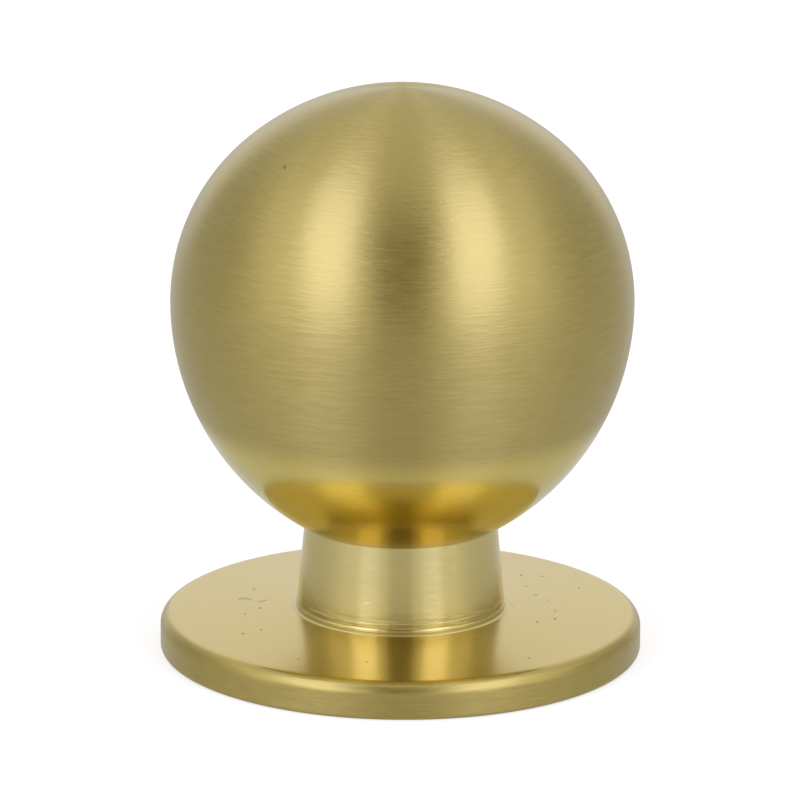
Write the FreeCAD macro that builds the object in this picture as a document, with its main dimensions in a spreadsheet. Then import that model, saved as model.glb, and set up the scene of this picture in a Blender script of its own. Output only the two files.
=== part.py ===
import FreeCAD, Part
import math
import os
import Sketcher

# Ball knob for a cabinet door or drawer, turned from brass, standing on its round backplate.
# The origin is the centre of the backplate's back face, which lies against the door.
# +Z runs out from the door along the knob's axis. Lengths are in millimetres, angles in degrees.

driving_sizes = {
    # backplate
    "plate_diameter": 30.0,
    "plate_thickness": 2.8,
    "plate_rim_thickness": 2.3,
    "plate_front_rounding": 0.8,
    "plate_back_rounding": 0.35,
    "plate_hole_chamfer": 0.3,
    # low round pad in the middle of the plate's face, where the neck stands
    "pad_height": 0.12,
    "pad_margin": 0.35,
    "pad_edge_rounding": 0.07,
    # neck, which widens a little towards the backplate
    "neck_foot_diameter": 13.0,
    "neck_top_diameter": 12.0,
    "neck_length": 5.3,
    "foot_rounding": 0.2,
    # fine line turned round the neck just above its foot
    "line_height": 0.36,
    "line_radius": 0.06,
    # ball: a flank below the widest circle, a shoulder above it and a flatter crown
    "ball_diameter": 28.6,
    "flank_radius": 16.2,
    "shoulder_radius": 12.95,
    "crown_angle": 49.0,
    # tapped hole for the fixing screw, and the screw's way through the backplate
    "screw_diameter": 4.0,
    "thread_pitch": 0.7,
    "tapped_depth": 12.0,
    "drill_point_angle": 118.0,
    "mouth_diameter": 4.5,
    "mouth_angle": 90.0,
    "screw_clearance": 0.5,
}

doc = FreeCAD.newDocument("ball_knob")


# put every driving size into one sheet, each with its own alias
def make_sheet():
    sheet = doc.addObject("Spreadsheet::Sheet", "sizes")
    for row, (name, value) in enumerate(driving_sizes.items(), start=1):
        sheet.set(f"A{row}", name)
        sheet.set(f"B{row}", str(value))
        sheet.setAlias(f"B{row}", name)
    doc.recompute()
    return sheet


sizes = make_sheet()


def new_body(name):
    body = doc.addObject("PartDesign::Body", name)
    body.Label = name
    return body


# a sketch on one of the body's own origin planes
def new_sketch(body, name, plane):
    sketch = body.newObject("Sketcher::SketchObject", name)
    support = next(item for item in body.Origin.OriginFeatures if item.Role == plane)
    sketch.AttachmentSupport = [(support, "")]
    sketch.MapMode = "FlatFace"
    return sketch


# add a dimension to the sketch and tie it to the sheet
def drive(sketch, name, constraint, expression):
    index = sketch.addConstraint(constraint)
    sketch.renameConstraint(index, name)
    sketch.setExpression(f"Constraints.{name}", expression)


def point(across, up):
    return FreeCAD.Vector(across, up, 0)


def arc(centre, radius, start, end):
    circle = Part.Circle(centre, FreeCAD.Vector(0, 0, 1), radius)
    return Part.ArcOfCircle(circle, start, end)


# name of the feature's circular edge with this radius at this height
def ring_edge(feature, radius, height):
    for number, edge in enumerate(feature.Shape.Edges, start=1):
        round_edge = isinstance(edge.Curve, Part.Circle)
        if not round_edge:
            continue
        same_radius = math.isclose(edge.Curve.Radius, radius, rel_tol=1e-6)
        same_height = math.isclose(edge.Curve.Center.z, height, abs_tol=1e-6)
        if same_radius and same_height:
            return f"Edge{number}"
    raise ValueError(f"{feature.Name} has no edge of radius {radius} at height {height}")


# round one circular edge of the body
def fillet_ring(body, name, radius, height, expression):
    base = body.Tip
    fillet = body.newObject("PartDesign::Fillet", name)
    fillet.Base = (base, [ring_edge(base, radius, height)])
    fillet.setExpression("Radius", expression)
    doc.recompute()


# break one circular edge of the body
def chamfer_ring(body, name, radius, height, expression):
    base = body.Tip
    chamfer = body.newObject("PartDesign::Chamfer", name)
    chamfer.Base = (base, [ring_edge(base, radius, height)])
    chamfer.setExpression("Size", expression)
    doc.recompute()


# a circle round the axis, in the plane of the body's own base
def circle_sketch(body, name, expression):
    sketch = new_sketch(body, name, "XY_Plane")
    sketch.addGeometry(Part.Circle(point(0, 0), FreeCAD.Vector(0, 0, 1), 1.0), False)
    sketch.addConstraint(Sketcher.Constraint("Coincident", 0, 3, -1, 1))
    drive(sketch, "diameter", Sketcher.Constraint("Diameter", 0, 2.0), expression)
    doc.recompute()
    return sketch


# half section of the plate: a low pad in the middle, from which the face falls gently to the rim
def plate_profile(body):
    rim = sizes.plate_diameter / 2
    rim_height = sizes.plate_rim_thickness
    pad = sizes.neck_foot_diameter / 2 + sizes.pad_margin
    front = sizes.plate_thickness
    face = sizes.plate_thickness - sizes.pad_height
    sketch = new_sketch(body, "plate_section", "XZ_Plane")
    back_line, rim_line, face_line, step_line, pad_line, axis_line = range(6)
    start, end = 1, 2
    sketch.addGeometry(
        [
            Part.LineSegment(point(0, 0), point(rim, 0)),
            Part.LineSegment(point(rim, 0), point(rim, rim_height)),
            Part.LineSegment(point(rim, rim_height), point(pad, face)),
            Part.LineSegment(point(pad, face), point(pad, front)),
            Part.LineSegment(point(pad, front), point(0, front)),
            Part.LineSegment(point(0, front), point(0, 0)),
        ],
        False,
    )
    origin, upright = -1, -2
    sketch.addConstraint(
        [
            Sketcher.Constraint("Coincident", back_line, start, origin, start),
            Sketcher.Constraint("Horizontal", back_line),
            Sketcher.Constraint("Coincident", back_line, end, rim_line, start),
            Sketcher.Constraint("Vertical", rim_line),
            Sketcher.Constraint("Coincident", rim_line, end, face_line, start),
            Sketcher.Constraint("Coincident", face_line, end, step_line, start),
            Sketcher.Constraint("Vertical", step_line),
            Sketcher.Constraint("Coincident", step_line, end, pad_line, start),
            Sketcher.Constraint("Horizontal", pad_line),
            Sketcher.Constraint("Coincident", pad_line, end, axis_line, start),
            Sketcher.Constraint("PointOnObject", axis_line, start, upright),
            Sketcher.Constraint("Coincident", axis_line, end, back_line, start),
        ]
    )
    drive(
        sketch,
        "rim_radius",
        Sketcher.Constraint("DistanceX", origin, start, back_line, end, rim),
        "sizes.plate_diameter / 2",
    )
    drive(
        sketch,
        "rim_height",
        Sketcher.Constraint("DistanceY", origin, start, rim_line, end, rim_height),
        "sizes.plate_rim_thickness",
    )
    drive(
        sketch,
        "pad_radius",
        Sketcher.Constraint("DistanceX", origin, start, face_line, end, pad),
        "sizes.neck_foot_diameter / 2 + sizes.pad_margin",
    )
    drive(
        sketch,
        "face_height",
        Sketcher.Constraint("DistanceY", origin, start, face_line, end, face),
        "sizes.plate_thickness - sizes.pad_height",
    )
    drive(
        sketch,
        "front_height",
        Sketcher.Constraint("DistanceY", origin, start, step_line, end, front),
        "sizes.plate_thickness",
    )
    doc.recompute()
    return sketch


# turned disc with softly rounded rims, a pad for the neck and a clear hole for the screw
def make_backplate():
    body = new_body("backplate")
    disc = body.newObject("PartDesign::Revolution", "plate_disc")
    disc.Profile = plate_profile(body)
    disc.ReferenceAxis = (disc.Profile[0], ["V_Axis"])
    disc.Angle = 360
    doc.recompute()

    rim = sizes.plate_diameter / 2
    front_rim = sizes.plate_rim_thickness
    fillet_ring(body, "front_rim", rim, front_rim, "sizes.plate_front_rounding")
    fillet_ring(body, "back_rim", rim, 0, "sizes.plate_back_rounding")
    pad = sizes.neck_foot_diameter / 2 + sizes.pad_margin
    front = sizes.plate_thickness
    fillet_ring(body, "pad_edge", pad, front, "sizes.pad_edge_rounding")

    hole_diameter = "sizes.screw_diameter + sizes.screw_clearance"
    hole = body.newObject("PartDesign::Pocket", "screw_way")
    hole.Profile = circle_sketch(body, "screw_way_outline", hole_diameter)
    hole.Type = "ThroughAll"
    hole.Reversed = True
    doc.recompute()

    hole_radius = (sizes.screw_diameter + sizes.screw_clearance) / 2
    chamfer_ring(body, "front_mouth", hole_radius, front, "sizes.plate_hole_chamfer")
    chamfer_ring(body, "back_mouth", hole_radius, 0, "sizes.plate_hole_chamfer")
    return body


# half section of the ball and neck, with the foot on the sketch's own base line
def knob_profile(body):
    foot = sizes.neck_foot_diameter / 2
    top = sizes.neck_top_diameter / 2
    widest = sizes.ball_diameter / 2
    flank = sizes.flank_radius
    shoulder = sizes.shoulder_radius
    blend = math.radians(sizes.crown_angle)

    # the flank's centre is level with the widest circle, so the outline stands upright there
    flank_turn = math.acos((top - widest + flank) / flank)
    widest_height = sizes.neck_length + flank * math.sin(flank_turn)
    # the crown's centre is on the axis, in line with the shoulder's centre and the blend
    crown = shoulder + (widest - shoulder) / math.cos(blend)
    crown_centre = widest_height - (widest - shoulder) * math.tan(blend)

    sketch = new_sketch(body, "knob_section", "XZ_Plane")
    foot_line, neck_line, flank_arc, shoulder_arc, crown_arc, axis_line = range(6)
    start, end, centre = 1, 2, 3
    sketch.addGeometry(
        [
            Part.LineSegment(point(0, 0), point(foot, 0)),
            Part.LineSegment(point(foot, 0), point(top, sizes.neck_length)),
            arc(point(widest - flank, widest_height), flank, -flank_turn, 0),
            arc(point(widest - shoulder, widest_height), shoulder, 0, blend),
            arc(point(0, crown_centre), crown, blend, math.pi / 2),
            Part.LineSegment(point(0, crown_centre + crown), point(0, 0)),
        ],
        False,
    )
    origin, upright = -1, -2
    sketch.addConstraint(
        [
            Sketcher.Constraint("Coincident", foot_line, start, origin, start),
            Sketcher.Constraint("Horizontal", foot_line),
            Sketcher.Constraint("Coincident", foot_line, end, neck_line, start),
            Sketcher.Constraint("Coincident", neck_line, end, flank_arc, start),
            Sketcher.Constraint("Tangent", flank_arc, end, shoulder_arc, start),
            Sketcher.Constraint("Horizontal", flank_arc, centre, flank_arc, end),
            Sketcher.Constraint("Tangent", shoulder_arc, end, crown_arc, start),
            Sketcher.Constraint("PointOnObject", crown_arc, centre, upright),
            Sketcher.Constraint("Coincident", crown_arc, end, axis_line, start),
            Sketcher.Constraint("PointOnObject", axis_line, start, upright),
            Sketcher.Constraint("Coincident", axis_line, end, foot_line, start),
        ]
    )
    drive(
        sketch,
        "foot_radius",
        Sketcher.Constraint("DistanceX", origin, start, foot_line, end, foot),
        "sizes.neck_foot_diameter / 2",
    )
    drive(
        sketch,
        "neck_top_radius",
        Sketcher.Constraint("DistanceX", origin, start, neck_line, end, top),
        "sizes.neck_top_diameter / 2",
    )
    drive(
        sketch,
        "neck_length",
        Sketcher.Constraint("DistanceY", origin, start, neck_line, end, sizes.neck_length),
        "sizes.neck_length",
    )
    drive(
        sketch,
        "widest_radius",
        Sketcher.Constraint("DistanceX", origin, start, flank_arc, end, widest),
        "sizes.ball_diameter / 2",
    )
    drive(
        sketch,
        "flank_radius",
        Sketcher.Constraint("Radius", flank_arc, flank),
        "sizes.flank_radius",
    )
    drive(
        sketch,
        "shoulder_radius",
        Sketcher.Constraint("Radius", shoulder_arc, shoulder),
        "sizes.shoulder_radius",
    )
    shoulder_rise = shoulder * math.sin(blend)
    drive(
        sketch,
        "shoulder_rise",
        Sketcher.Constraint("DistanceY", shoulder_arc, start, shoulder_arc, end, shoulder_rise),
        "sizes.shoulder_radius * sin(sizes.crown_angle * 1 deg)",
    )
    doc.recompute()
    return sketch


# fine groove round the neck, centred on the neck's slope
def cut_turned_line(body):
    height = sizes.line_height
    slope = (sizes.neck_foot_diameter - sizes.neck_top_diameter) / 2 / sizes.neck_length
    across = sizes.neck_foot_diameter / 2 - slope * height
    sketch = new_sketch(body, "turned_line_section", "XZ_Plane")
    circle = Part.Circle(point(across, height), FreeCAD.Vector(0, 0, 1), sizes.line_radius)
    sketch.addGeometry(circle, False)
    drive(
        sketch,
        "height",
        Sketcher.Constraint("DistanceY", -1, 1, 0, 3, height),
        "sizes.line_height",
    )
    drive(
        sketch,
        "across",
        Sketcher.Constraint("DistanceX", -1, 1, 0, 3, across),
        "sizes.neck_foot_diameter / 2 - (sizes.neck_foot_diameter - sizes.neck_top_diameter)"
        " / 2 * sizes.line_height / sizes.neck_length",
    )
    drive(
        sketch,
        "radius",
        Sketcher.Constraint("Radius", 0, sizes.line_radius),
        "sizes.line_radius",
    )
    groove = body.newObject("PartDesign::Groove", "turned_line")
    groove.Profile = sketch
    groove.ReferenceAxis = (sketch, ["V_Axis"])
    groove.Angle = 360
    doc.recompute()


# blind hole up the neck: countersunk mouth, tapping bore and the drill's point
def tap_foot(body):
    profile = circle_sketch(body, "tapped_hole_place", "sizes.screw_diameter")
    hole = body.newObject("PartDesign::Hole", "tapped_hole")
    hole.Profile = profile
    hole.ThreadType = "None"
    hole.DepthType = "Dimension"
    hole.DrillPoint = "Angled"
    hole.DrillForDepth = False
    hole.HoleCutType = "Countersink"
    hole.setExpression("Diameter", "sizes.screw_diameter - sizes.thread_pitch")
    hole.setExpression("Depth", "sizes.tapped_depth")
    hole.setExpression("DrillPointAngle", "sizes.drill_point_angle")
    hole.setExpression("HoleCutDiameter", "sizes.mouth_diameter")
    hole.setExpression("HoleCutCountersinkAngle", "sizes.mouth_angle")
    hole.Reversed = True
    doc.recompute()


# ball and neck in one turned piece, standing on the backplate's pad
def make_knob_body():
    body = new_body("knob_body")
    body.setExpression("Placement.Base.z", "sizes.plate_thickness")
    turned = body.newObject("PartDesign::Revolution", "turned_shape")
    turned.Profile = knob_profile(body)
    turned.ReferenceAxis = (turned.Profile[0], ["V_Axis"])
    turned.Angle = 360
    doc.recompute()

    fillet_ring(body, "foot_edge", sizes.neck_foot_diameter / 2, 0, "sizes.foot_rounding")
    cut_turned_line(body)
    solid_volume = body.Shape.Volume
    tap_foot(body)
    if body.Shape.Volume >= solid_volume:
        raise ValueError("the tapped hole points away from the neck and cuts nothing")
    return body


bodies = [make_backplate(), make_knob_body()]
doc.recompute()

for item in doc.Objects:
    if "Invalid" in item.State or "Error" in item.State:
        raise ValueError(f"{item.Name} failed: {item.State}")
for body in bodies:
    if body.Shape.isNull() or not body.Shape.isValid():
        raise ValueError(f"{body.Label} has no valid shape")

os.makedirs("parts", exist_ok=True)
for body in bodies:
    body.Shape.exportStep(f"parts/{body.Label}.step")
    box = body.Shape.BoundBox
    print(body.Label, "stands from", round(box.ZMin, 3), "to", round(box.ZMax, 3))
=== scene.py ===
import bpy
import math
from mathutils import Matrix, Quaternion, Vector


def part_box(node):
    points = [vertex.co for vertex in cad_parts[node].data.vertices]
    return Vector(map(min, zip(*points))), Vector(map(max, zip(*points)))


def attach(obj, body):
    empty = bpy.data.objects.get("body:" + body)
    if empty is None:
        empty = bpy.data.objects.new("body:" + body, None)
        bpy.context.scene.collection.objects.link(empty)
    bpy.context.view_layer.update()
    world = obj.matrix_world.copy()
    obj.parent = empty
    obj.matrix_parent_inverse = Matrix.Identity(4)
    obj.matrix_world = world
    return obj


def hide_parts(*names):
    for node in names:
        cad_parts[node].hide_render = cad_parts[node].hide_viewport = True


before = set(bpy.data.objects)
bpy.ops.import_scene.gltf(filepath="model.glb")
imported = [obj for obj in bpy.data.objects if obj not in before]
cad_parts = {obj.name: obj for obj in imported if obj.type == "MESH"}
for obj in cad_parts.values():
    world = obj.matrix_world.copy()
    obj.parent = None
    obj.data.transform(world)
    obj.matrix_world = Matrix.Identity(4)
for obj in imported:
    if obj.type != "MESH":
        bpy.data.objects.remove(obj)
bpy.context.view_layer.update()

mm = 0.001
knobLow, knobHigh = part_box("knob_body")
plateLow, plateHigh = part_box("backplate")
plateTop = plateHigh.z  # top of the plate's pad, where the knob stands
print("frame loaded:", ", ".join(sorted(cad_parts)))

# the camera stands where the photograph's lens stood, a little above the knob
view = {
    "distance": 350.0 * mm,
    "elevation": 0.2672,
    "aimHeight": 15.915 * mm,
    "aimAcross": -0.111 * mm,
    "roll": 0.006,
    "near": 0.01,
    "lens": 254.42,
    "sensor": 36.0,
    "pixels": 800,
}


def aimedAt(place, target):
    return (Vector(target) - Vector(place)).to_track_quat("-Z", "Y")


def cameraStand(s):
    aim = Vector((s["aimAcross"], 0, s["aimHeight"]))
    place = aim + Vector((0, -math.cos(s["elevation"]), math.sin(s["elevation"]))) * s["distance"]
    return place, aimedAt(place, aim) @ Quaternion((0, 0, 1), s["roll"])


# where the sight line through a pixel of the photograph meets a plane through this point
def seenOn(pixel, point, normal):
    place, turn = cameraStand(view)
    scale = view["sensor"] / view["lens"] / view["pixels"]
    half = view["pixels"] / 2
    line = turn @ Vector(((pixel[0] - half) * scale, (half - pixel[1]) * scale, -1))
    share = (Vector(point) - place).dot(Vector(normal)) / line.dot(Vector(normal))
    return place + line * share


# outlines are lists of (radius, height), walked so that the solid lies on their left
def arcPoints(centre, radius, fromAngle, toAngle, count):
    turn = (toAngle - fromAngle) / (count - 1)
    angles = [math.radians(fromAngle + turn * i) for i in range(count)]
    return [(centre[0] + radius * math.cos(a), centre[1] + radius * math.sin(a)) for a in angles]


def linePoints(start, end, count):
    shares = [i / (count - 1) for i in range(count)]
    return [(start[0] + (end[0] - start[0]) * s, start[1] + (end[1] - start[1]) * s) for s in shares]


def joined(*runs):
    points = []
    for run in runs:
        for point in run:
            if not points or math.dist(point, points[-1]) > 1e-7:
                points.append(point)
    return points


# how far along the outline its nearest point to this one lies, in mm
def alongOutline(outline, place):
    nearest = min(range(len(outline)), key=lambda number: math.dist(outline[number], place))
    return sum(math.dist(before, after) for before, after in zip(outline, outline[1 : nearest + 1])) / mm


# turns an outline about Z; the map "turning" runs once round in u and along the outline in v
def turnPiece(name, outline, steps, ring=False, relief=None):
    if ring:
        outline = outline + [outline[0]]
    along = [0.0]
    for before, after in zip(outline, outline[1:]):
        along.append(along[-1] + math.dist(before, after))
    vertices = []
    rows = []
    for number, (radius, height) in enumerate(outline):
        if ring and number == len(outline) - 1:
            rows.append(rows[0])
            continue
        rows.append([])
        for step in range(1 if radius < 1e-7 else steps):
            angle = 2 * math.pi * step / steps
            out = radius + (relief(radius, height, angle) if relief else 0)
            rows[-1].append(len(vertices))
            vertices.append((out * math.cos(angle), out * math.sin(angle), height))
    faces = []
    places = []
    for number in range(len(outline) - 1):
        upper, lower = rows[number], rows[number + 1]
        high, low = along[number] / along[-1], along[number + 1] / along[-1]
        for step in range(steps):
            after = (step + 1) % steps
            left, right = step / steps, (step + 1) / steps
            middle = (left + right) / 2
            if len(upper) == 1:
                faces.append((upper[0], lower[step], lower[after]))
                places += [(middle, high), (left, low), (right, low)]
            elif len(lower) == 1:
                faces.append((upper[step], lower[0], upper[after]))
                places += [(left, high), (middle, low), (right, high)]
            else:
                faces.append((upper[step], lower[step], lower[after], upper[after]))
                places += [(left, high), (left, low), (right, low), (right, high)]
    mesh = bpy.data.meshes.new(name)
    mesh.from_pydata(vertices, [], faces)
    turning = mesh.uv_layers.new(name="turning")
    for corner, place in zip(turning.data, places):
        corner.uv = place
    mesh.shade_smooth()
    mesh.set_sharp_from_angle(angle=math.radians(28))
    piece = bpy.data.objects.new(name, mesh)
    bpy.context.collection.objects.link(piece)
    return piece, along[-1] / mm


# the knob: ball, neck and tapped hole in one turned piece
knobSettings = {
    "steps": 224,
    "flankRadius": 16.2 * mm,  # the ball is three tangent arcs: crown, shoulder and flank
    "shoulderRadius": 12.95 * mm,
    "crownAngle": 49.0,
    "neckFoot": 6.5 * mm,
    "neckTop": 6.0 * mm,
    "neckLength": 5.3 * mm,
    "ridgeHeight": 0.5 * mm,  # faint ridge, groove and bead turned at the foot
    "ridgeOut": 0.009 * mm,
    "grooveHeight": 0.37 * mm,
    "grooveDepth": 0.003 * mm,
    "lineHalf": 0.05 * mm,
    "beadHeight": 0.12 * mm,
    "beadRounding": 0.18 * mm,
    "beadOut": 0.045 * mm,
    "footRounding": 0.03 * mm,
    "tappingRadius": 1.65 * mm,
    "threadRoot": 1.98 * mm,
    "threadPitch": 0.7 * mm,
    "threadFlat": 1.35,  # more gives a wider root, and a larger slope steeper flanks
    "threadSlope": 3.2,
    "rowsPerPitch": 8,
    "mouthRadius": 2.25 * mm,
    "mouthDepth": 0.6 * mm,
    "tappedDepth": 12.0 * mm,
    "drillPoint": 0.99 * mm,
}


def knobOutline(s):
    widest = knobHigh.x
    neckTopHeight = plateTop + s["neckLength"]
    flankTurn = math.acos((s["neckTop"] - widest + s["flankRadius"]) / s["flankRadius"])
    equator = neckTopHeight + s["flankRadius"] * math.sin(flankTurn)
    rise = math.radians(s["crownAngle"])
    offset = widest - s["shoulderRadius"]
    crownRadius = s["shoulderRadius"] + offset / math.cos(rise)
    crownCentre = (0, equator - offset * math.tan(rise))
    crown = arcPoints(crownCentre, crownRadius, 90, s["crownAngle"], 44)
    crown[0] = (0, knobHigh.z)
    shoulder = arcPoints((offset, equator), s["shoulderRadius"], s["crownAngle"], 0, 46)
    flank = arcPoints((widest - s["flankRadius"], equator), s["flankRadius"], 0, -math.degrees(flankTurn), 62)
    neck = neckPoints(s, neckTopHeight)
    foot = footPoints(s)
    hole = holePoints(s)
    return joined(crown, shoulder, flank, neck, foot, hole)


def neckPoints(s, neckTopHeight):
    slope = (s["neckFoot"] - s["neckTop"]) / s["neckLength"]
    def wall(height, out=0):
        return (s["neckFoot"] - slope * height + out, plateTop + height)
    ridge, groove = s["ridgeHeight"], s["grooveHeight"]
    half = s["lineHalf"]
    points = linePoints((s["neckTop"], neckTopHeight), wall(ridge + half), 18)
    points += [wall(ridge + half / 2, s["ridgeOut"] / 2), wall(ridge, s["ridgeOut"]), wall(ridge - half, 0)]
    points += [wall(groove + half), wall(groove + half / 2, -s["grooveDepth"] * 0.7)]
    points += [wall(groove, -s["grooveDepth"]), wall(groove - half / 2, -s["grooveDepth"] * 0.7)]
    points += [wall(groove - half), wall(beadTop(s))]
    return points


# where the bead starts to stand out of the wall
def beadTurn(s):
    return math.acos(1 - s["beadOut"] / s["beadRounding"])


def beadTop(s):
    return s["beadHeight"] + s["beadRounding"] * math.sin(beadTurn(s))


def footPoints(s):
    bead, lower = s["beadRounding"], s["footRounding"]
    out = s["neckFoot"] + s["beadOut"]
    turn = math.degrees(beadTurn(s))
    high = arcPoints((out - bead, plateTop + s["beadHeight"]), bead, turn, 0, 10)
    low = arcPoints((out - lower, plateTop + lower), lower, 0, -90, 5)
    underside = linePoints((out - lower, plateTop), (s["mouthRadius"], plateTop), 10)
    return joined(high, low, underside)


def holePoints(s):
    mouthTop = plateTop + s["mouthDepth"]
    bottom = plateTop + s["tappedDepth"]
    rows = round((bottom - mouthTop) / s["threadPitch"] * s["rowsPerPitch"])
    mouth = linePoints((s["mouthRadius"], plateTop), (s["tappingRadius"], mouthTop), 5)
    wall = linePoints((s["tappingRadius"], mouthTop), (s["tappingRadius"], bottom), rows + 1)
    point = linePoints((s["tappingRadius"], bottom), (0, bottom + s["drillPoint"]), 6)
    return joined(mouth, wall, point)


# depth of the thread at a place on the hole's wall: right-handed, running out above the last turn
def threadRelief(radius, height, angle):
    s = knobSettings
    low = plateTop + 0.3 * s["mouthDepth"]
    high = plateTop + s["tappedDepth"] - s["threadPitch"]
    if radius > s["mouthRadius"] or height < low or height > high + s["threadPitch"]:
        return 0
    phase = ((height - low) / s["threadPitch"] - angle / (2 * math.pi)) % 1.0
    wave = min(max(s["threadFlat"] - s["threadSlope"] * abs(phase - 0.5), 0), 1)
    room = s["threadRoot"] - radius
    fade = min(max((high - height) / s["threadPitch"] + 1, 0), 1)
    return max(room, 0) * wave * fade


# the backplate: a turned disc with soft rims, a low pad for the knob's foot and a clear hole;
# its face falls gently from the pad to the rim
plateSettings = {
    "steps": 256,
    "padRadius": 6.82 * mm,
    "padHeight": 0.075 * mm,
    "padEdge": 0.16 * mm,  # the pad's edge is the upper part of this rounding
    "rimHeight": 2.3 * mm,  # where the face and the side would meet, were the rim sharp
    "frontRounding": 0.8 * mm,
    "faceTurn": 20.0,  # the polish of the face and its brighter colour, painted light, run this far over the rounding
    "faceBlend": 0.2,  # mm to either side of that, over which it ends
    "backRounding": 0.35 * mm,
    "holeRadius": 2.25 * mm,
    "holeChamfer": 0.3 * mm,
}


def faceFall(s):
    return math.atan2(plateTop - s["padHeight"] - s["rimHeight"], plateHigh.x - s["padRadius"])


def faceHeight(s, radius):
    return plateTop - s["padHeight"] - (radius - s["padRadius"]) * math.tan(faceFall(s))


# centre of a rounding under the falling face, and where it touches the face
def underFace(s, radius, soft):
    fall = faceFall(s)
    height = faceHeight(s, radius) - soft / math.cos(fall)
    touch = (radius + soft * math.sin(fall), height + soft * math.cos(fall))
    return (radius, height), touch, 90 - math.degrees(fall)


def plateOutline(s):
    rim, padRim = plateHigh.x, s["padRadius"]
    hole, bevel = s["holeRadius"], s["holeChamfer"]
    padSoft, frontSoft, backSoft = s["padEdge"], s["frontRounding"], s["backRounding"]
    rimCentre, faceEnd, upward = underFace(s, rim - frontSoft, frontSoft)
    edgeTurn = math.asin(1 - s["padHeight"] / padSoft)
    padCentre = padRim - padSoft * math.cos(edgeTurn)
    pad = linePoints((hole + bevel, plateTop), (padCentre, plateTop), 10)
    padEdge = arcPoints((padCentre, plateTop - padSoft), padSoft, 90, math.degrees(edgeTurn), 7)
    face = linePoints((padRim, plateTop - s["padHeight"]), faceEnd, 26)
    frontRim = arcPoints(rimCentre, frontSoft, upward, 0, 18)
    side = linePoints((rim, rimCentre[1]), (rim, backSoft), 5)
    backRim = arcPoints((rim - backSoft, backSoft), backSoft, 0, -90, 14)
    back = linePoints((rim - backSoft, 0), (hole + bevel, 0), 16)
    wall = linePoints((hole, bevel), (hole, plateTop - bevel), 3)
    return joined(pad, padEdge, face, frontRim, side, backRim, back, wall)


# node trees, built from small helpers
class Tree:
    def __init__(self, material):
        self.nodes = material.node_tree.nodes
        self.links = material.node_tree.links

    def add(self, kind, inputs=None, **settings):
        node = self.nodes.new(kind)
        for name, value in settings.items():
            setattr(node, name, value)
        for name, value in (inputs or {}).items():
            self.feed(node.inputs[name], value)
        return node

    def feed(self, socket, value):
        if isinstance(value, bpy.types.NodeSocket):
            self.links.new(value, socket)
        else:
            socket.default_value = value

    def maths(self, operation, first, second=0.0, clamp=False):
        node = self.add("ShaderNodeMath", operation=operation, use_clamp=clamp)
        for socket, value in zip(node.inputs, (first, second)):
            self.feed(socket, value)
        return node.outputs[0]

    def range(self, value, low, high, toLow, toHigh, smooth=False):
        kind = "SMOOTHSTEP" if smooth else "LINEAR"
        inputs = {"Value": value, "From Min": low, "From Max": high, "To Min": toLow, "To Max": toHigh}
        return self.add("ShaderNodeMapRange", inputs, interpolation_type=kind).outputs["Result"]

    def noise(self, vector, scale, detail=2.0, rough=0.5):
        inputs = {"Vector": vector, "Scale": scale, "Detail": detail, "Roughness": rough}
        return self.add("ShaderNodeTexNoise", inputs).outputs["Fac"]

    def mix(self, share, first, second):
        node = self.add("ShaderNodeMix", data_type="RGBA")
        self.feed(node.inputs[0], share)
        self.feed(node.inputs[6], first)
        self.feed(node.inputs[7], second)
        return node.outputs[2]

    def mixValue(self, share, first, second):
        node = self.add("ShaderNodeMix", data_type="FLOAT")
        for socket, value in zip((node.inputs[0], node.inputs[2], node.inputs[3]), (share, first, second)):
            self.feed(socket, value)
        return node.outputs[0]


# a point on the turned surface as (round x, round y, along), each stretched to set the grain's length
def grainPlace(tree, length, roundScale, alongScale):
    place = tree.add("ShaderNodeUVMap", uv_map="turning").outputs["UV"]
    split = tree.add("ShaderNodeSeparateXYZ", {"Vector": place})
    angle = tree.maths("MULTIPLY", split.outputs["X"], 2 * math.pi)
    across = tree.maths("MULTIPLY", tree.maths("COSINE", angle), roundScale)
    up = tree.maths("MULTIPLY", tree.maths("SINE", angle), roundScale)
    along = tree.maths("MULTIPLY", split.outputs["Y"], length * alongScale)
    return tree.add("ShaderNodeCombineXYZ", {"X": across, "Y": up, "Z": along}).outputs["Vector"]


def newMaterial(name):
    material = bpy.data.materials.new(name)
    material.use_nodes = True
    material.node_tree.nodes.clear()
    tree = Tree(material)
    shader = tree.add("ShaderNodeBsdfPrincipled")
    tree.output = tree.add("ShaderNodeOutputMaterial")
    tree.links.new(shader.outputs["BSDF"], tree.output.inputs["Surface"])
    return material, tree, shader
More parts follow.
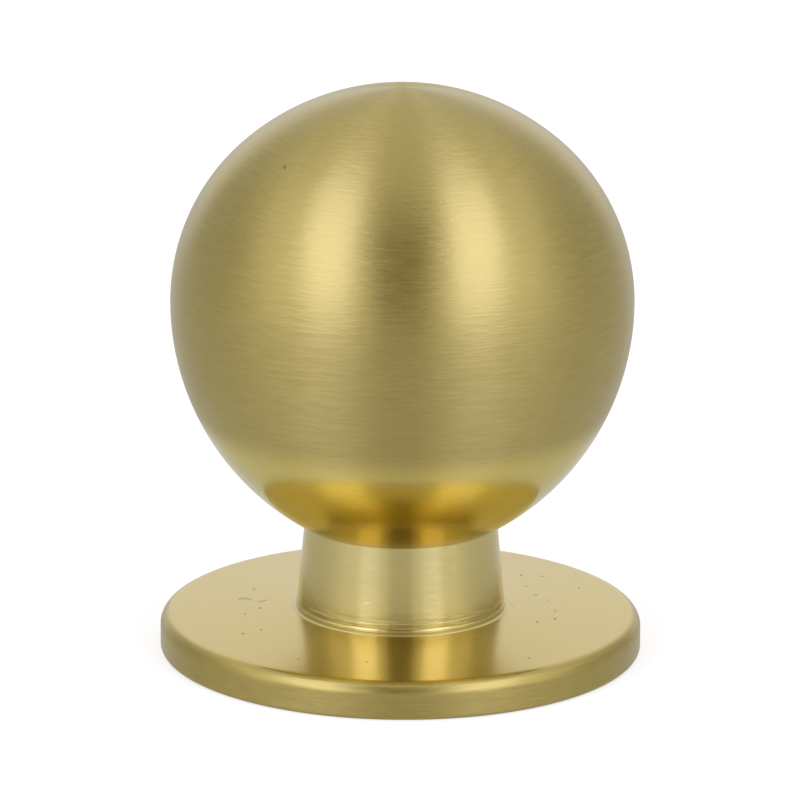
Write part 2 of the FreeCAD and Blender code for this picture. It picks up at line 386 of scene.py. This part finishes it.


# brass brushed round the axis; each change is (start, end) along the outline, and leads to the next finish,
# whose colours are a brighter or darker copy of the same brass: painted light and shade
def turnedBrass(name, length, finishesAndPaintedLight, changes, wear=None):
    material, tree, shader = newMaterial(name)
    s = finishesAndPaintedLight[0]
    place = tree.add("ShaderNodeUVMap", uv_map="turning").outputs["UV"]
    along = tree.maths("MULTIPLY", tree.add("ShaderNodeSeparateXYZ", {"Vector": place}).outputs["Y"], length)
    shares = [tree.range(along, start, end, 0.0, 1.0, smooth=True) for start, end in changes]

    # each key's value region by region along the outline; the regions' colours are brighter and darker copies
    # of one brass, painted light and shade, beside their real roughness
    def finish(key):
        value = finishesAndPaintedLight[0][key]
        combine = tree.mix if isinstance(value, tuple) else tree.mixValue
        for share, following in zip(shares, finishesAndPaintedLight[1:]):
            if following[key] != value:
                value = combine(share, value, following[key])
        return value

    fine = tree.noise(grainPlace(tree, length, s["fineRound"], s["fineAlong"]), 1.0, 3.0, 0.6)
    dash = tree.noise(grainPlace(tree, length, s["dashRound"], s["dashAlong"]), 1.0, 2.0, 0.6)
    cloud = tree.noise(grainPlace(tree, length, s["cloudRound"], s["cloudAlong"]), 1.0, 3.0, 0.55)
    streak = tree.maths("ADD", tree.maths("MULTIPLY", fine, 0.6), tree.maths("MULTIPLY", dash, 0.4))
    colour = tree.mix(tree.range(streak, 0.35, 0.65, 0.0, 1.0), finish("darkBrass"), finish("brightBrass"))
    colour = tree.mix(tree.range(cloud, 0.35, 0.7, 0.0, s["cloud"]), colour, finish("dullBrass"))
    spread = tree.maths("MULTIPLY", tree.range(streak, 0.3, 0.7, -1.0, 1.0), finish("roughSpread"))
    rough = tree.maths("ADD", finish("roughness"), spread)
    dashes = tree.range(dash, 0.45, 0.75, 0.0, 1.0, smooth=True)
    dashes = tree.maths("MULTIPLY", dashes, s["dashHeight"])
    height = tree.maths("ADD", tree.maths("MULTIPLY", fine, 0.6), dashes)
    if wear:
        colour, rough, height = wear(tree, colour, rough, height)
    bump = tree.add("ShaderNodeBump", {"Height": height, "Strength": 1.0, "Distance": finish("brushDepth")})
    tangent = tree.add("ShaderNodeTangent", direction_type="UV_MAP", uv_map="turning")
    tree.feed(shader.inputs["Base Color"], colour)
    tree.feed(shader.inputs["Roughness"], rough)
    tree.feed(shader.inputs["Normal"], bump.outputs["Normal"])
    tree.feed(shader.inputs["Tangent"], tangent.outputs["Tangent"])
    shader.inputs["Metallic"].default_value = 1.0
    shader.inputs["Anisotropic"].default_value = s["anisotropy"]
    shader.inputs["Anisotropic Rotation"].default_value = 0.25  # across the brush lines
    return material


# one at the middle of each mark, none past its edge; a mark is (place, reach along x, y and z)
def markMask(tree, marks):
    place = tree.add("ShaderNodeTexCoord").outputs["Object"]
    mask = 0.0
    for centre, reach in marks:
        away = tree.add("ShaderNodeVectorMath", {0: place, 1: tuple(centre)}, operation="SUBTRACT").outputs[0]
        shares = tuple(1 / size for size in reach)
        away = tree.add("ShaderNodeVectorMath", {0: away, 1: shares}, operation="MULTIPLY").outputs[0]
        away = tree.add("ShaderNodeVectorMath", {0: away}, operation="LENGTH").outputs["Value"]
        mask = tree.maths("MAXIMUM", mask, tree.range(away, 0.3, 1.0, 1.0, 0.0, smooth=True))
    return mask


# fine specks on the plate's face and a shallow scratch beside the neck, where the photograph shows them
plateMarks = {
    "specks": [
        (254, 589), (260, 608), (245, 614), (261, 630), (243, 634), (298, 660),
        (367, 663), (521, 575), (542, 576), (579, 588), (526, 586), (536, 595),
        (548, 600), (555, 611), (555, 619), (537, 622), (529, 659),
    ],
    "speckSizes": (1.0, 0.95, 0.75, 0.8, 0.9, 0.65, 0.7),
    "speckReach": (0.15 * mm, 0.32 * mm, 1.0 * mm),
    "smears": [(512, 605), (476, 640)],
    "smearReach": (0.26 * mm, 0.22 * mm, 1.0 * mm),
    "scratchStart": (237, 600),
    "scratchEnd": (268, 600),
    "scratchWaves": 1.05,
    "scratchSwing": 0.36 * mm,
    "scratchWidth": 0.28 * mm,
    "scratchMiddle": (0.40, 0.76),  # it hardly shows between these shares of its length
    "markColour": (0.27, 0.215, 0.07, 1),
    "scratchColour": (0.30, 0.25, 0.09, 1),
}


def onFace(pixel):
    place = seenOn(pixel, (0, 0, plateTop), (0, 0, 1))
    height = faceHeight(plateSettings, place.xy.length)
    return seenOn(pixel, (0, 0, height), (0, 0, 1))


# a wavering line between two places on the face, as a mask
def scratchMask(tree, s):
    start, end = onFace(s["scratchStart"]), onFace(s["scratchEnd"])
    place = tree.add("ShaderNodeTexCoord").outputs["Object"]
    away = tree.add("ShaderNodeVectorMath", {0: place, 1: tuple(start)}, operation="SUBTRACT").outputs[0]
    split = tree.add("ShaderNodeSeparateXYZ", {"Vector": away}).outputs
    share = tree.maths("DIVIDE", split["X"], end.x - start.x)
    wave = tree.maths("SINE", tree.maths("MULTIPLY", share, 2 * math.pi * s["scratchWaves"]))
    line = tree.maths("MULTIPLY", share, end.y - start.y)
    line = tree.maths("ADD", line, tree.maths("MULTIPLY", wave, s["scratchSwing"]))
    off = tree.maths("ABSOLUTE", tree.maths("SUBTRACT", split["Y"], line))
    mask = tree.range(off, 0.0, s["scratchWidth"], 1.0, 0.0, smooth=True)
    begun = tree.range(share, 0.0, 0.06, 0.0, 1.0)
    inside = tree.maths("MULTIPLY", begun, tree.range(share, 0.94, 1.0, 1.0, 0.0))
    first, last = s["scratchMiddle"]
    fading = tree.range(share, first, first + 0.1, 1, 0.25)
    shown = tree.maths("MAXIMUM", fading, tree.range(share, last - 0.1, last, 0.25, 1))
    return tree.maths("MULTIPLY", mask, tree.maths("MULTIPLY", inside, shown))


def plateWear(tree, colour, rough, height):
    s = plateMarks
    sizes = s["speckSizes"]
    specks = []
    for number, pixel in enumerate(s["specks"]):
        size = sizes[number % len(sizes)]
        specks.append((onFace(pixel), tuple(reach * size for reach in s["speckReach"])))
    specks = markMask(tree, specks)
    smears = markMask(tree, [(onFace(pixel), s["smearReach"]) for pixel in s["smears"]])
    scratch = scratchMask(tree, s)
    colour = tree.mix(tree.maths("MULTIPLY", specks, 0.8), colour, s["markColour"])
    colour = tree.mix(tree.maths("MULTIPLY", smears, 0.4), colour, s["markColour"])
    colour = tree.mix(tree.maths("MULTIPLY", scratch, 0.65), colour, s["scratchColour"])
    rough = tree.maths("ADD", rough, tree.maths("MULTIPLY", scratch, 0.2))
    height = tree.maths("SUBTRACT", height, tree.maths("MULTIPLY", scratch, 6.0))
    return colour, rough, height


# one dark speck high on the ball; darker streaks and a short scuff near the foot of the neck
knobMarks = {
    "speck": (285, 164),
    "speckDepth": -5.6 * mm,
    "speckReach": (0.15 * mm, 2.0 * mm, 0.15 * mm),
    "scuff": (367, 603.5),
    "scuffDepth": -6.1 * mm,
    "scuffReach": (0.36 * mm, 2.0 * mm, 0.07 * mm),
    "streaksLow": 0.3 * mm,
    "streaksHigh": 1.5 * mm,
    "streakRound": 3.5,
    "streakAlong": 7.0,
    "markColour": (0.10, 0.07, 0.03, 1),
    "scuffColour": (0.80, 0.70, 0.38, 1),
    "streakColour": (0.42, 0.34, 0.10, 1),
}


def knobWear(tree, colour, rough, height):
    s = knobMarks
    speck = markMask(tree, [(seenOn(s["speck"], (0, s["speckDepth"], 0), (0, 1, 0)), s["speckReach"])])
    scuff = markMask(tree, [(seenOn(s["scuff"], (0, s["scuffDepth"], 0), (0, 1, 0)), s["scuffReach"])])
    place = tree.add("ShaderNodeTexCoord").outputs["Object"]
    level = tree.add("ShaderNodeSeparateXYZ", {"Vector": place}).outputs["Z"]
    level = tree.maths("SUBTRACT", level, plateTop)
    rings = tree.noise(grainPlace(tree, knobLength, s["streakRound"], s["streakAlong"]), 1.0, 3.0, 0.65)
    # the neck is darker in streaks towards its foot, fading out just above the plate
    streaks = tree.range(level, s["streaksLow"], s["streaksHigh"], 1.0, 0.0, smooth=True)
    streaks = tree.maths("MULTIPLY", streaks, tree.range(rings, 0.42, 0.58, 0.15, 1.0))
    streaks = tree.maths("MULTIPLY", streaks, tree.range(level, 0.1 * mm, s["streaksLow"], 0.0, 1.0))
    colour = tree.mix(tree.maths("MULTIPLY", speck, 0.9), colour, s["markColour"])
    colour = tree.mix(tree.maths("MULTIPLY", scuff, 0.9), colour, s["scuffColour"])
    colour = tree.mix(tree.maths("MULTIPLY", streaks, 0.9), colour, s["streakColour"])
    return colour, rough, height


ballBrass = {
    "darkBrass": (0.45, 0.362, 0.125, 1),
    "brightBrass": (0.53, 0.43, 0.155, 1),
    "dullBrass": (0.45, 0.368, 0.143, 1),
    "cloud": 0.35,
    "cloudRound": 1.6,
    "cloudAlong": 0.16,
    "roughness": 0.35,
    "roughSpread": 0.04,
    "anisotropy": 0.8,
    "brushDepth": 0.004 * mm,
    "fineRound": 5.0,
    "fineAlong": 7.0,
    "dashRound": 10.0,
    "dashAlong": 5.5,
    "dashHeight": 1.4,
}
# painted light: the underside and the neck are polished like real brass, and are also given brighter colours
# than the ball of the same brass
underBrassPolishAndPaintedLight = dict(
    ballBrass,
    darkBrass=(0.64, 0.53, 0.165, 1),
    brightBrass=(0.69, 0.57, 0.18, 1),
    dullBrass=(0.64, 0.525, 0.17, 1),
    roughness=0.16,
    roughSpread=0.02,
    brushDepth=0.0008 * mm,
)
neckBrassPolishAndPaintedLight = dict(
    underBrassPolishAndPaintedLight,
    darkBrass=(0.63, 0.535, 0.23, 1),
    brightBrass=(0.68, 0.575, 0.255, 1),
    dullBrass=(0.605, 0.51, 0.215, 1),
    roughness=0.23,
)
# painted light: the face is polished, and is also given a brighter colour than the rim, standing in for the
# bright reflection it shows
faceBrassPolishAndPaintedLight = dict(
    ballBrass,
    darkBrass=(0.63, 0.50, 0.165, 1),
    brightBrass=(0.68, 0.535, 0.18, 1),
    dullBrass=(0.62, 0.51, 0.205, 1),
    anisotropy=0.4,
    roughness=0.21,
    roughSpread=0.02,
    brushDepth=0.0008 * mm,
)
# painted light: the pad's pale colour is a painted highlight on its rounded edge
padBrassPaintedLight = dict(
    faceBrassPolishAndPaintedLight,
    darkBrass=(0.68, 0.60, 0.32, 1),
    brightBrass=(0.74, 0.65, 0.35, 1),
    dullBrass=(0.68, 0.60, 0.32, 1),
    roughness=0.4,
)
# painted shade: the rim is given a darker colour than the face of the same brass
rimBrassPaintedShade = dict(
    ballBrass,
    darkBrass=(0.425, 0.335, 0.105, 1),
    brightBrass=(0.50, 0.395, 0.13, 1),
    dullBrass=(0.43, 0.35, 0.125, 1),
    roughness=0.32,
)

outline = knobOutline(knobSettings)
knob, knobLength = turnPiece("turned_knob", outline, knobSettings["steps"], relief=threadRelief)
neckTopHeight = plateTop + knobSettings["neckLength"]
ballLength = alongOutline(outline, (knobSettings["neckTop"], neckTopHeight))
print("ball's outline runs", round(ballLength, 2), "mm from crown to neck")
underStart, underEnd = 11.0, 8.4  # mm above the neck, between which the polish of the underside and its brighter colour, painted light, set in
knobChanges = [(ballLength - underStart, ballLength - underEnd), (ballLength - 0.02, ballLength)]
knobFinishesAndPaintedLight = [ballBrass, underBrassPolishAndPaintedLight, neckBrassPolishAndPaintedLight]
knobBrass = turnedBrass("turnedKnobBrass", knobLength, knobFinishesAndPaintedLight, knobChanges, knobWear)
knob.data.materials.append(knobBrass)
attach(knob, "root")
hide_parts("knob_body")
print("knob turned:", len(knob.data.polygons), "faces")

outline = plateOutline(plateSettings)
plate, plateLength = turnPiece("turned_backplate", outline, plateSettings["steps"], ring=True)
frontSoft = plateSettings["frontRounding"]
faceLength = alongOutline(outline, underFace(plateSettings, plateHigh.x - frontSoft, frontSoft)[1])
rimStart = faceLength + math.radians(plateSettings["faceTurn"]) * frontSoft / mm
padLength = alongOutline(outline, (plateSettings["padRadius"], plateTop - plateSettings["padHeight"]))
blend = plateSettings["faceBlend"]
plateChanges = [(padLength - 0.01, padLength + 0.01), (rimStart - blend, rimStart + blend)]
plateFinishesPaintedLightAndShade = [padBrassPaintedLight, faceBrassPolishAndPaintedLight, rimBrassPaintedShade]
plateBrass = turnedBrass("turnedPlateBrass", plateLength, plateFinishesPaintedLightAndShade, plateChanges, plateWear)
plate.data.materials.append(plateBrass)
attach(plate, "root")
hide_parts("backplate")
print("backplate turned:", len(plate.data.polygons), "faces")


# floor, lights and world
studio = {
    "floorSize": 6.0,
    "floorColour": (0.50, 0.50, 0.50, 1),
    "floorWhite": 0.59,
    "floorShade": (0.02, 0.02, 0.02, 1),  # its colour as the metal sees it
    "floorGloss": 0.22,
    "floorGlossRough": 0.3,
    "strip": {
        "foot": (0.44, -0.66, 0.11),
        "head": (0.318, -0.01, 0.835),
        "width": 0.30,
        "radiance": 1.22,
        "colour": (0.98, 1.0, 1.5),
    },
    "wing": {
        "foot": (0.70, -0.50, 0.06),
        "head": (0.56, 0.20, 0.76),
        "width": 0.34,
        "radiance": 0.22,
        "colour": (1.0, 1.0, 1.1),
    },
    "lampAim": (0, 0, 0.02),
    "skyColour": (1.01, 1.0, 0.94, 1),
    "flagDistance": 0.95,
    "flagHalfAngle": 13.0,
    "flagLow": 6.0,
    "flagHigh": 66.0,
    "flagLevel": 0.26,
    "flagColour": (1.12, 0.97, 0.58, 1),
    "skySides": 0.53,
    "skyFront": 1.0,
    "skyBehind": 0.9,
    "behindColour": (1.0, 1.0, 1.06, 1),
    "skyTop": 0.84,
    "turnToSides": (-0.55, 0.35),  # where the sky changes, by the direction's y, y again and z
    "turnToBehind": (0.72, 0.90),
    "turnToTop": (0.35, 0.75),
}


def makeFloor(s):
    half = s["floorSize"] / 2
    mesh = bpy.data.meshes.new("studio_floor")
    corners = [(-half, -half, 0), (half, -half, 0), (half, half, 0), (-half, half, 0)]
    mesh.from_pydata(corners, [], [(0, 1, 2, 3)])
    floor = bpy.data.objects.new("studio_floor", mesh)
    bpy.context.collection.objects.link(floor)
    material, tree, shader = newMaterial("paleFloor")
    ray = tree.add("ShaderNodeLightPath").outputs
    tree.feed(shader.inputs["Base Color"], tree.mix(ray["Is Glossy Ray"], s["floorColour"], s["floorShade"]))
    shader.inputs["Roughness"].default_value = 1.0
    shader.inputs["Specular IOR Level"].default_value = 0.0
    seen = tree.maths("ADD", ray["Is Camera Ray"], ray["Is Glossy Ray"])
    seen = tree.maths("ADD", seen, ray["Is Transmission Ray"], clamp=True)
    shader.inputs["Emission Color"].default_value = (1, 1, 1, 1)
    tree.feed(shader.inputs["Emission Strength"], tree.maths("MULTIPLY", seen, s["floorWhite"]))
    gloss = tree.add("ShaderNodeBsdfGlossy", {"Color": (1, 1, 1, 1), "Roughness": s["floorGlossRough"]})
    share = tree.maths("MULTIPLY", ray["Is Glossy Ray"], s["floorGloss"])
    both = tree.add("ShaderNodeMixShader", {"Fac": share})
    tree.links.new(shader.outputs["BSDF"], both.inputs[1])
    tree.links.new(gloss.outputs["BSDF"], both.inputs[2])
    tree.links.new(both.outputs["Shader"], tree.output.inputs["Surface"])
    mesh.materials.append(material)


# a long soft lamp that leans from its foot to its head and faces the knob
def addStrip(name, side, s):
    foot, head = (Vector((side * x, y, z)) for x, y, z in (s["foot"], s["head"]))
    place = (foot + head) / 2
    up = (head - foot).normalized()
    facing = Vector(studio["lampAim"]) - place
    facing = (facing - up * facing.dot(up)).normalized()
    light = bpy.data.lights.new(name, "AREA")
    light.shape = "RECTANGLE"
    light.size = s["width"]
    light.size_y = (head - foot).length
    light.energy = s["radiance"] * math.pi * light.size * light.size_y
    light.color = s["colour"]
    strip = bpy.data.objects.new(name, light)
    strip.location = place
    strip.rotation_mode = "QUATERNION"
    axes = (facing.cross(up), up, -facing)
    strip.rotation_quaternion = Matrix([(a.x, a.y, a.z) for a in axes]).transposed().to_quaternion()
    bpy.context.collection.objects.link(strip)


# a dark card curved over the front, between the two strips; only the metal sees it
def addFlag(s):
    half = s["flagDistance"] * math.tan(math.radians(s["flagHalfAngle"]))
    vertices = []
    faces = []
    count = 24
    for i in range(count + 1):
        angle = math.radians(s["flagLow"] + (s["flagHigh"] - s["flagLow"]) * i / count)
        depth, height = -s["flagDistance"] * math.cos(angle), s["flagDistance"] * math.sin(angle)
        vertices += [(-half, depth, height), (half, depth, height)]
    for i in range(count):
        faces.append((2 * i, 2 * i + 1, 2 * i + 3, 2 * i + 2))
    mesh = bpy.data.meshes.new("dark_card")
    mesh.from_pydata(vertices, [], faces)
    card = bpy.data.objects.new("dark_card", mesh)
    bpy.context.collection.objects.link(card)
    material, tree, shader = newMaterial("darkCard")
    shader.inputs["Base Color"].default_value = (0, 0, 0, 1)
    shader.inputs["Specular IOR Level"].default_value = 0.0
    shader.inputs["Emission Color"].default_value = s["flagColour"]
    shader.inputs["Emission Strength"].default_value = s["flagLevel"]
    mesh.materials.append(material)
    card.visible_camera = False
    card.visible_diffuse = False
    card.visible_shadow = False


makeFloor(studio)
for lamp in ("strip", "wing"):
    addStrip(lamp + "_left", -1, studio[lamp])
    addStrip(lamp + "_right", 1, studio[lamp])
addFlag(studio)

world = bpy.data.worlds.new("studio")
bpy.context.scene.world = world
world.use_nodes = True
world.node_tree.nodes.clear()
sky = Tree(world)
way = sky.add("ShaderNodeSeparateXYZ", {"Vector": sky.add("ShaderNodeTexCoord").outputs["Generated"]})
front, besides = studio["skyFront"], studio["skySides"]
sides = sky.range(way.outputs["Y"], *studio["turnToSides"], front, besides, smooth=True)
behind = sky.range(way.outputs["Y"], *studio["turnToBehind"], 0.0, 1.0, smooth=True)
above = sky.range(way.outputs["Z"], *studio["turnToTop"], 0.0, 1.0, smooth=True)
level = sky.mixValue(behind, sides, studio["skyBehind"])
level = sky.mixValue(above, level, studio["skyTop"])
seen = sky.add("ShaderNodeLightPath").outputs["Is Camera Ray"]
level = sky.mixValue(seen, level, 1.0)
tint = sky.mix(behind, studio["skyColour"], studio["behindColour"])
tint = sky.mix(seen, tint, (1, 1, 1, 1))
background = sky.add("ShaderNodeBackground", {"Color": tint, "Strength": level})
sky.links.new(background.outputs["Background"], sky.add("ShaderNodeOutputWorld").inputs["Surface"])
print("studio lit")

cameraData = bpy.data.cameras.new("photo_camera")
cameraData.lens = view["lens"]
cameraData.sensor_width = view["sensor"]
cameraData.clip_start = view["near"]
camera = bpy.data.objects.new("photo_camera", cameraData)
camera.rotation_mode = "QUATERNION"
camera.location, camera.rotation_quaternion = cameraStand(view)
bpy.context.collection.objects.link(camera)
bpy.context.scene.camera = camera

bpy.context.scene.view_settings.view_transform = "Standard"
